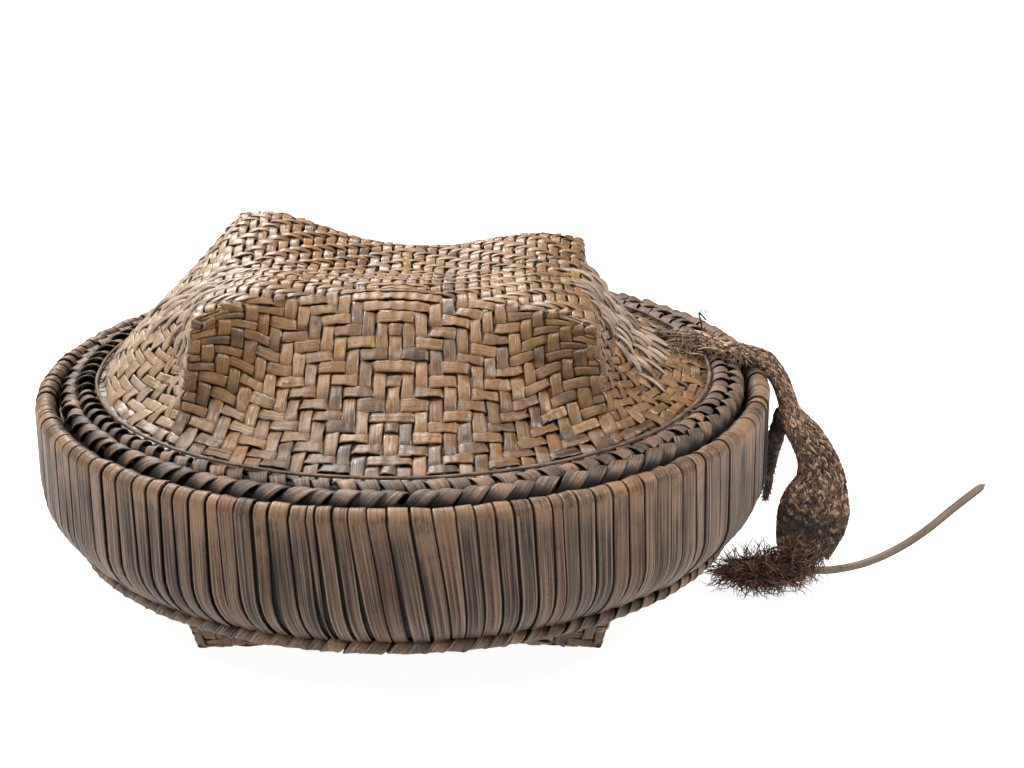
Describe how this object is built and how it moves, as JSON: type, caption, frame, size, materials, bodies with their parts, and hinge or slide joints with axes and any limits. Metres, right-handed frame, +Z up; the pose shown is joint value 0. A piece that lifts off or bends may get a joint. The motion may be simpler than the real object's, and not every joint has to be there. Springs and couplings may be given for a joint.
{
  "type": "lidded basket",
  "caption": "Round lidded basket of plaited split cane with a wrapped hoop, four corner feet and a lid with a braided fibre strap.",
  "frame": {"origin": "centre of the round basket, on the surface that its feet stand on", "axes": "+Z up, the way the lid lifts; -Y towards the front of the picture; +X towards the strap"},
  "size_m": [0.3982, 0.305, 0.1411],
  "materials": {
    "plaited_cane": "satin split cane, plaited, worn and browned",
    "wound_cane": "satin split cane, wound side by side, dark brown",
    "bare_cane": "matt bare cane",
    "border_cane": "satin dark cane, folded and looped",
    "braided_fibre": "matt braided plant fibre",
    "frayed_fibre": "matt frayed plant fibre, dark brown"
  },
  "bodies": {
    "base": {"base_plait": "plaited_cane", "base_seat_ring": "bare_cane", "hoop_core": "bare_cane", "hoop_wrap_01": "wound_cane", "hoop_wrap_02": "wound_cane", "hoop_wrap_03": "wound_cane", "hoop_wrap_04": "wound_cane", "hoop_wrap_05": "wound_cane", "hoop_wrap_06": "wound_cane", "hoop_wrap_07": "wound_cane", "hoop_wrap_08": "wound_cane", "hoop_wrap_09": "wound_cane", "hoop_wrap_10": "wound_cane", "hoop_wrap_11": "wound_cane", "hoop_wrap_12": "wound_cane", "hoop_wrap_13": "wound_cane", "hoop_wrap_14": "wound_cane", "hoop_wrap_15": "wound_cane", "hoop_wrap_16": "wound_cane", "lower_rod": "border_cane"},
    "lid": {"lid_braid_border": "border_cane", "lid_inner_rod": "border_cane", "lid_plait": "plaited_cane", "lid_rim_hoop": "bare_cane", "lid_rope_border": "border_cane", "strap_band": "braided_fibre", "strap_lashing": "braided_fibre", "strap_leg": "braided_fibre", "strap_tail": "braided_fibre", "strap_tassel": "frayed_fibre", "cane_tongue": "bare_cane"}
  },
  "joints": [
    {"name": "lid_lift", "type": "slide", "parent": "base", "child": "lid", "axis": [0, 0, 1], "range_m": [0, 0.12], "deforming": ["strap_tassel"]}
  ]
}
